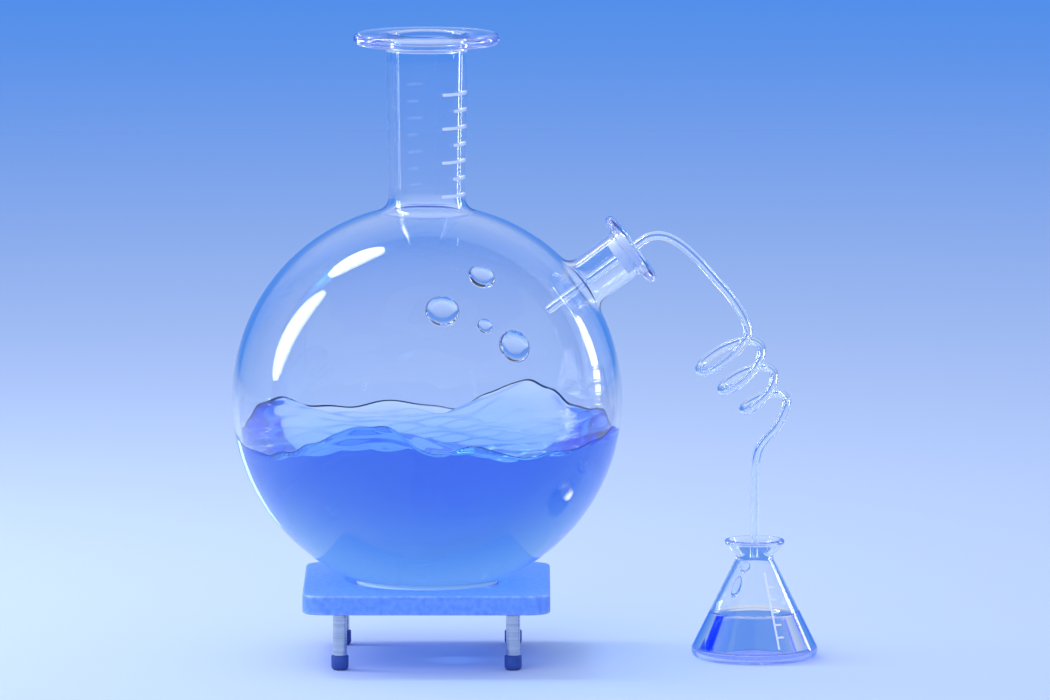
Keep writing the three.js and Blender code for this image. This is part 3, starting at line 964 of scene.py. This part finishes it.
def receiverScale():
    def onCone(height, turn):
        out = np.array((math.cos(turn), math.sin(turn), 0.0))
        normal = out + up * receiverSlope
        return out * coneRadius(height) + up * height, normal / np.linalg.norm(normal)

    def stroke(places):
        return enamelStroke(*zip(*[onCone(*place) for place in places]), scales["receiverStroke"])

    turn = math.radians(scales["receiverTurn"])
    low, high = scales["receiverLine"]
    shapes = [stroke([(height, turn) for height in np.linspace(low, high, scales["lineRings"])])]
    shares = np.linspace(scales["markStart"], 1, scales["markRings"])
    for height in scales["receiverMarks"]:
        sweep = scales["receiverMark"] / coneRadius(height)
        shapes.append(stroke([(height, turn + sweep * share) for share in shares]))
    return joined(shapes)


makePiece("neck_scale", neckScale(), bulbCentre, whiteEnamel, sharp=40)
makePiece("receiver_scale", receiverScale(), receiverBase, whiteEnamel, sharp=40)
print("scales made")


# Stand: a dished plate on four legs with rubber feet

plateLow, plateHigh = toMillimetres(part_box("stand_plate"))
plate = {
    "half": (plateHigh[0] - plateLow[0]) / 2,
    "top": plateHigh[2],
    "bottom": plateLow[2],
    "corner": 7.0,
    "edge": 0.8,
    "dishClearance": 1.5,     # between the bulb and the dish
    "dishEdge": 0.7,
    "brim": 4,                # width of the flat ring round the dish
    "drain": 8.0,
    "drainEdge": 0.6,
    "spacing": 1.5,           # longest step round the drain
    "dishSteps": 24,
    "cornerSteps": 18,
    "sideSteps": 14,
    "edgeSteps": 6,
}
plateCentre = np.array(((plateLow[0] + plateHigh[0]) / 2, (plateLow[1] + plateHigh[1]) / 2, 0.0))


def squareRing(inset, height):
    # A rounded square with the same corner centres at every inset.
    turn = plate["half"] - plate["corner"]
    radius = plate["corner"] - inset
    side = np.linspace(-turn, turn, plate["sideSteps"] * 2 + 1)[1:-1]
    quarter = arc(turn, turn, radius, 0, 90, plate["cornerSteps"]) + [(-y, turn + radius) for y in side]
    points = []
    for degrees in (0, 90, 180, 270):
        spin = Matrix.Rotation(math.radians(degrees), 2)
        points += [tuple(spin @ Vector(p)) for p in quarter]
    return np.array([(x, y, height) for x, y in points])


def plateShape():
    outline = squareRing(0, 0)
    angles = np.arctan2(outline[:, 1], outline[:, 0])
    dish = bulbRadius + plate["dishClearance"]
    bulbHeight = bulbCentre[2]
    dishReach = math.sqrt(dish**2 - (bulbHeight - plate["top"]) ** 2)
    drain, bottom, top = plate["drain"], plate["bottom"], plate["top"]
    reaches = np.linspace(drain, dishReach, plate["dishSteps"])
    floorAt = [(r, bulbHeight - math.sqrt(dish**2 - r**2)) for r in reaches]
    first, last = 6, -4       # the dish's points that end the drain's edge and start the brim's
    hole = [(drain + plate["drainEdge"], bottom)] + rounded([
        (dishReach, bottom, 0), (drain, bottom, plate["drainEdge"]),
        (drain, floorAt[0][1], plate["drainEdge"]), (*floorAt[first], 0)], steps=5)[1:]
    seat = floorAt[first + 1 : last + 1]
    brim = rounded([
        (*floorAt[last], 0), (dishReach, top, plate["dishEdge"]),
        (dishReach + plate["brim"], top, 0)], steps=6)[1:]
    rings = turned(spaced(hole, plate["spacing"]) + seat + brim, angles)
    edge = plate["edge"]
    inner = rings[-1]
    outerTop = squareRing(edge, top)
    rings += [inner + (outerTop - inner) * share for share in (0.2, 0.4, 0.6, 0.8, 0.95)]
    side = arc(edge, top - edge, edge, 90, 180, plate["edgeSteps"])
    side += [(0, height) for height in np.linspace(top - edge, bottom + edge, 5)[1:-1]]
    side += arc(edge, bottom + edge, edge, 180, 270, plate["edgeSteps"])
    rings += [squareRing(inset, height) for inset, height in side]
    outerBottom = rings[-1]
    rings += [outerBottom + (rings[0] - outerBottom) * share for share in (0.05, 0.3, 0.55, 0.8)]
    return loft(rings, loop=True)


pad = {"inner": 10.0, "outer": 23.4, "squeeze": 0.03, "bulge": 0.35, "steps": 10, "segments": 96}


def padShape():
    # A curved washer that the bulb presses into the dish.
    low = bulbRadius - pad["squeeze"]
    high = bulbRadius + plate["dishClearance"] + pad["squeeze"]

    def across(radius, start, end):
        angles = np.linspace(math.asin(start / radius), math.asin(end / radius), pad["steps"])
        return [(radius * math.sin(a), -radius * math.cos(a)) for a in angles]

    def edge(reach, bulge):
        return [(reach + bulge, -math.sqrt(((low + high) / 2) ** 2 - reach**2))]

    profile = across(high, pad["inner"], pad["outer"]) + edge(pad["outer"], pad["bulge"])
    profile += across(low, pad["outer"], pad["inner"]) + edge(pad["inner"], -pad["bulge"])
    return loft(turned(profile, evenAngles(pad["segments"])), loop=True)


leg = {
    "radius": 2.35,
    "collar": 3.9,
    "collarHeight": 1.0,
    "socket": 0.3,            # how far the leg stands in its foot
    "overlap": 0.02,          # into the plate and into the socket's floor
    "endRound": 0.15,
    "collarRounds": (0.2, 0.25),
    "spacing": 1.5,
    "segments": 64,
}
foot = {
    "radius": 2.9,
    "lowRound": 1.38,
    "topRound": 0.48,
    "mouthRound": 0.1,
    "play": 0.02,             # round the leg
    "spacing": 0.6,
    "segments": 64,
}


def legShape(collarTop, footTop):
    top = plate["bottom"] + leg["overlap"]
    collarFoot = collarTop - leg["collarHeight"]
    end = footTop - leg["socket"] - leg["overlap"]
    innerRound, outerRound = leg["collarRounds"]
    profile = rounded([
        (0, end, 0),
        (leg["radius"], end, leg["endRound"]),
        (leg["radius"], collarFoot, innerRound),
        (leg["collar"], collarFoot, outerRound),
        (leg["collar"], top, 0),
        (0, top, 0),
    ], steps=4)
    return loft(turned(spaced(profile, leg["spacing"]), evenAngles(leg["segments"])))


def footShape(footTop):
    hole, floor = leg["radius"] + foot["play"], footTop - leg["socket"]
    profile = rounded([
        (0, 0, 0),
        (foot["radius"], 0, foot["lowRound"]),
        (foot["radius"], footTop, foot["topRound"]),
        (hole, footTop, foot["mouthRound"]),
        (hole, floor, 0),
        (0, floor, 0),
    ], steps=7)
    return loft(turned(spaced(profile, foot["spacing"]), evenAngles(foot["segments"])))


makePiece("plate", plateShape(), plateCentre, paleCoating, ["stand_plate"])
makePiece("seat_ring", padShape(), bulbCentre, softSilicone, ["stand_seat_pad"])
for number in range(1, 5):
    legLow, legHigh = toMillimetres(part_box(f"stand_leg_{number}"))
    footTop = toMillimetres(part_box(f"stand_foot_{number}"))[1][2]
    axis = np.array(((legLow[0] + legHigh[0]) / 2, (legLow[1] + legHigh[1]) / 2, 0.0))
    makePiece(f"leg_{number}", legShape(legHigh[2], footTop), axis, brightSteel,
              [f"stand_leg_{number}"], sharp=50)
    makePiece(f"foot_{number}", footShape(footTop), axis, footRubber,
              [f"stand_foot_{number}"], sharp=50)
print("stand made")


# Studio: a pale floor that thins out into the room's blue, and soft light. Two boxes at the upper
# left give the bulb its two oval glints, and a strip at the back right outlines the glass.

studio = {
    "floor": "#C9DAF8",
    "floorRoughness": 0.75,
    "floorSheen": 0.25,
    "floorReach": 3.0,        # metres from the middle
    "floorFade": (0.2, 2.6),
    "room": "#5697F8",
    "ceiling": "#E4EDFD",
    "ceilingFade": (0.05, 0.7),  # from the horizon's 0 to 1 straight up
    "roomStrength": 0.88,
    "boxes": [                # (name, metres from the bulb, width, length, watts, glints, lights)
        ("sideBox", (-0.71, 0.15, 0.34), 0.15, 0.58, 2.1, True, True),
        ("topBox", (-0.36, 0.26, 0.67), 0.14, 0.32, 1.5, True, True),
        ("backStrip", (0.72, 0.46, 0.22), 0.10, 0.60, 1.3, True, False),
        ("frontBox", (-0.6, -1.5, 1.2), 1.5, 1.5, 10.0, False, True),
    ],
}


def studioFloor():
    angles = evenAngles(96)
    rim = studio["floorReach"] * np.column_stack((np.cos(angles), np.sin(angles), np.zeros_like(angles)))
    data = bpy.data.meshes.new("studioFloor")
    data.from_pydata(rim.tolist(), [], [list(range(len(rim)))])
    material, tree = newMaterial("paintedBoard")  # matt paint
    place = addNode(tree, "ShaderNodeTexCoord")
    away = addNode(tree, "ShaderNodeVectorMath", {"operation": "LENGTH"}, {0: place.outputs["Object"]})
    near, far = studio["floorFade"]
    fade = addNode(tree, "ShaderNodeMapRange", {"interpolation_type": "SMOOTHSTEP", 1: near, 2: far},
                   {0: away.outputs["Value"]})
    paint = addNode(tree, "ShaderNodeBsdfPrincipled", {
        "Base Color": linear(studio["floor"]), "Roughness": studio["floorRoughness"],
        "Specular IOR Level": studio["floorSheen"]})
    gone = addNode(tree, "ShaderNodeBsdfTransparent")
    mix = addNode(tree, "ShaderNodeMixShader", links={
        0: fade.outputs[0], 1: paint.outputs[0], 2: gone.outputs[0]})
    addNode(tree, "ShaderNodeOutputMaterial", links={"Surface": mix.outputs[0]})
    data.materials.append(material)
    floor = bpy.data.objects.new("studioFloor", data)
    bpy.context.scene.collection.objects.link(floor)


def softBox(name, place, target, width, length, watts, glints, lights):
    # Its length runs round the line of sight, so that it shows as a curved oval near the bulb's edge.
    # One with glints shows in the glass, and one that lights also falls on the floor and the stand.
    light = bpy.data.lights.new(name, "AREA")
    light.shape = "ELLIPSE"
    light.size, light.size_y, light.energy = width, length, watts
    box = bpy.data.objects.new(name, light)
    back = (Vector(place) - Vector(target)).normalized()
    long = Vector((0, 1, 0)).cross(back).normalized()
    turn = Matrix((long.cross(back), long, back)).transposed().to_4x4()
    box.matrix_world = Matrix.Translation(place) @ turn
    box.visible_glossy = box.visible_transmission = glints
    box.visible_diffuse = lights
    box.visible_camera = False
    bpy.context.scene.collection.objects.link(box)


def studioRoom():
    # The same blue all round and below, and a pale ceiling.
    world = bpy.data.worlds.new("studioRoom")
    world.use_nodes = True
    tree = world.node_tree
    tree.nodes.clear()
    way = addNode(tree, "ShaderNodeTexCoord")
    height = addNode(tree, "ShaderNodeSeparateXYZ", links={0: way.outputs["Generated"]})
    low, high = studio["ceilingFade"]
    upward = addNode(tree, "ShaderNodeMapRange", {"interpolation_type": "SMOOTHSTEP", 1: low, 2: high},
                     {0: height.outputs["Z"]})
    colour = addNode(tree, "ShaderNodeMix", {
        "data_type": "RGBA", 6: linear(studio["room"]), 7: linear(studio["ceiling"])},
        {0: upward.outputs[0]})
    light = addNode(tree, "ShaderNodeBackground", {"Strength": studio["roomStrength"]},
                    {"Color": colour.outputs[2]})
    addNode(tree, "ShaderNodeOutputWorld", links={"Surface": light.outputs[0]})
    bpy.context.scene.world = world


studioFloor()
studioRoom()
target = bulbCentre * mm
for name, offset, *settings in studio["boxes"]:
    softBox(name, target + np.array(offset), target, *settings)


# Camera: square on and a little above, as the set is drawn

view = {
    "elevation": 7,           # degrees
    "lens": 400,              # long, because the drawing has hardly any perspective
    "span": 0.352,            # metres across the picture
    "aim": (0.0, 0.0, 0.104),
}


def makeCamera():
    data = bpy.data.cameras.new("camera")
    data.lens = view["lens"]
    camera = bpy.data.objects.new("camera", data)
    distance = view["span"] * data.lens / data.sensor_width
    tilt = math.radians(view["elevation"])
    aim = Vector(view["aim"])
    camera.location = aim + Vector((0, -math.cos(tilt), math.sin(tilt))) * distance
    camera.rotation_euler = (aim - camera.location).to_track_quat("-Z", "Y").to_euler()
    bpy.context.scene.collection.objects.link(camera)
    bpy.context.scene.camera = camera


makeCamera()
scene = bpy.context.scene
scene.view_settings.view_transform = "Standard"
# Light runs round inside a glass wall many times before it gets out again. Cut short, it would
# leave the lips black and the ends of the liquid's surface grey.
scene.cycles.max_bounces = 64
scene.cycles.transmission_bounces = 64
scene.cycles.glossy_bounces = 64
scene.cycles.transparent_max_bounces = 24
scene.cycles.caustics_reflective = False
scene.cycles.caustics_refractive = False
print("studio made")
